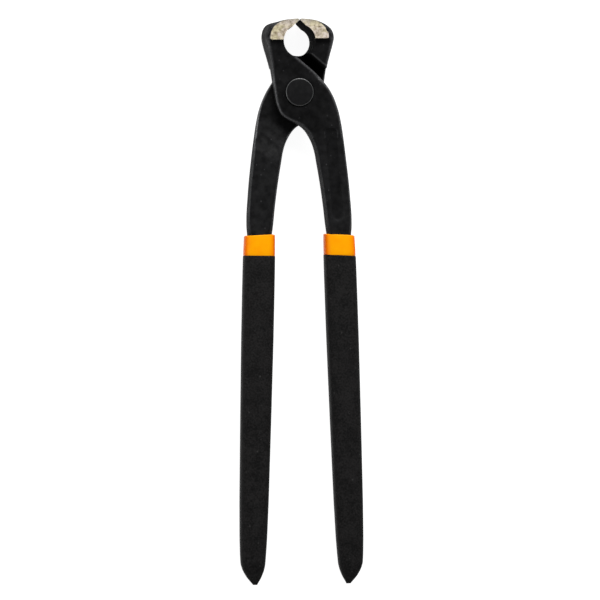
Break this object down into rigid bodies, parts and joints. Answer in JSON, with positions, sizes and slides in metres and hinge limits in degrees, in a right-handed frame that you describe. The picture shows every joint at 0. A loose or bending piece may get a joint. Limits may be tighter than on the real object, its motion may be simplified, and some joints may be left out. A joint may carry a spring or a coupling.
{
  "type": "rebar tying pliers",
  "caption": "Forged tower pincers for tying rebar, with end-cutting jaws round a throat, one riveted pivot and twice-dipped plastic handles.",
  "frame": {"origin": "on the rivet's axis, at the flat back face of its tail", "axes": "+X to the right as seen from the front, +Y from the handles to the jaws, +Z along the rivet towards its raised head"},
  "size_m": [0.0548, 0.2499, 0.02],
  "materials": {
    "forged_black": "satin black forging, with bare ground steel at the cutting edges",
    "rivet_black": "satin black rivet",
    "orange_dip": "glossy dipped plastic",
    "black_dip": "matte dipped plastic"
  },
  "bodies": {
    "rear_half": {"rear_lever": "forged_black", "pivot_rivet": "rivet_black", "left_orange_sleeve": "orange_dip", "left_black_grip": "black_dip"},
    "front_half": {"front_lever": "forged_black", "right_orange_sleeve": "orange_dip", "right_black_grip": "black_dip"}
  },
  "joints": [
    {"name": "jaw_pivot", "type": "hinge", "parent": "rear_half", "child": "front_half", "pos_m": [0, 0, 0], "axis": [0, 0, 1], "range_deg": [0, 50]}
  ]
}
